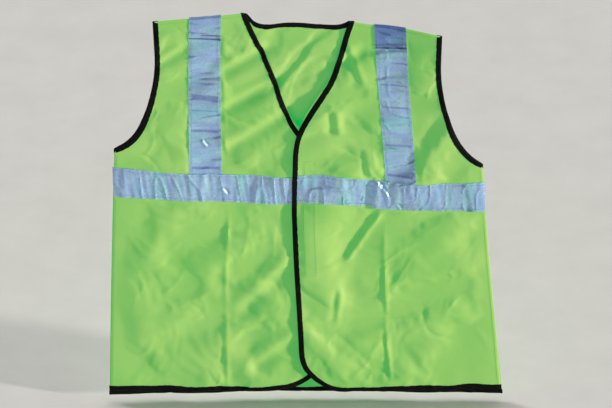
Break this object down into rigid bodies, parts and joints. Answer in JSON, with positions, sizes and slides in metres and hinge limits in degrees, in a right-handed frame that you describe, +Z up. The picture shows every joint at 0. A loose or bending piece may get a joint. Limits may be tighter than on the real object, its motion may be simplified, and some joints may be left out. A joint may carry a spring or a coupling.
{
  "type": "high visibility vest",
  "caption": "Sleeveless open-front safety vest with bound edges, reflective shoulder and waist tapes and a hook-and-loop front closure whose two front flaps fold open.",
  "frame": {"origin": "middle of the body in X and Y, at the lowest edge of the back hem", "axes": "+Z up along the wearer, front faces -Y, +X is the wearer's left"},
  "size_m": [0.626, 0.0326, 0.71],
  "materials": {
    "fluorescent_fabric": "matte tricot knit",
    "edge_binding": "matte woven",
    "reflective_tape": "glossy silver film",
    "hook_tape": "woven with stiff hooks",
    "loop_tape": "brushed loops",
    "sewing_thread": "spun thread"
  },
  "bodies": {
    "vest_body": {"back_hem_binding": "edge_binding", "back_neck_binding": "edge_binding", "back_panel": "fluorescent_fabric", "back_waist_tape": "reflective_tape", "back_waist_tape_thread": "sewing_thread", "left_armhole_binding": "edge_binding", "left_back_shoulder_tape": "reflective_tape", "left_back_shoulder_tape_thread": "sewing_thread", "left_front_hem_binding": "edge_binding", "left_front_panel_side": "fluorescent_fabric", "left_front_shoulder_tape": "reflective_tape", "left_front_shoulder_tape_thread": "sewing_thread", "left_shoulder_seam_thread": "sewing_thread", "left_side_seam_thread": "sewing_thread", "left_waist_tape_side": "reflective_tape", "left_waist_tape_side_thread": "sewing_thread", "right_armhole_binding": "edge_binding", "right_back_shoulder_tape": "reflective_tape", "right_back_shoulder_tape_thread": "sewing_thread", "right_front_hem_binding": "edge_binding", "right_front_panel_side": "fluorescent_fabric", "right_front_shoulder_tape": "reflective_tape", "right_front_shoulder_tape_thread": "sewing_thread", "right_shoulder_seam_thread": "sewing_thread", "right_side_seam_thread": "sewing_thread", "right_waist_tape_side": "reflective_tape", "right_waist_tape_side_thread": "sewing_thread"},
    "left_front_flap": {"left_front_edge_binding": "edge_binding", "left_front_panel_flap": "fluorescent_fabric", "left_waist_tape_flap": "reflective_tape", "left_waist_tape_flap_thread": "sewing_thread", "hook_strip": "hook_tape", "hook_strip_thread": "sewing_thread"},
    "right_front_flap": {"right_front_edge_binding": "edge_binding", "right_front_panel_flap": "fluorescent_fabric", "right_waist_tape_flap": "reflective_tape", "right_waist_tape_flap_thread": "sewing_thread", "loop_strip": "loop_tape", "loop_strip_thread": "sewing_thread"}
  },
  "joints": [
    {"name": "left_flap_fold", "type": "hinge", "parent": "vest_body", "child": "left_front_flap", "pos_m": [0.12604, -0.01298, 0.02], "axis": [-0.0478, 0.0094, 0.9988], "range_deg": [0, 160]},
    {"name": "right_flap_fold", "type": "hinge", "parent": "vest_body", "child": "right_front_flap", "pos_m": [-0.12604, -0.01298, 0.02], "axis": [-0.0478, -0.0094, -0.9988], "range_deg": [0, 160]}
  ],
  "couplings": [
    {"joint": "right_flap_fold", "follows": "left_flap_fold", "ratio": 0.5}
  ]
}
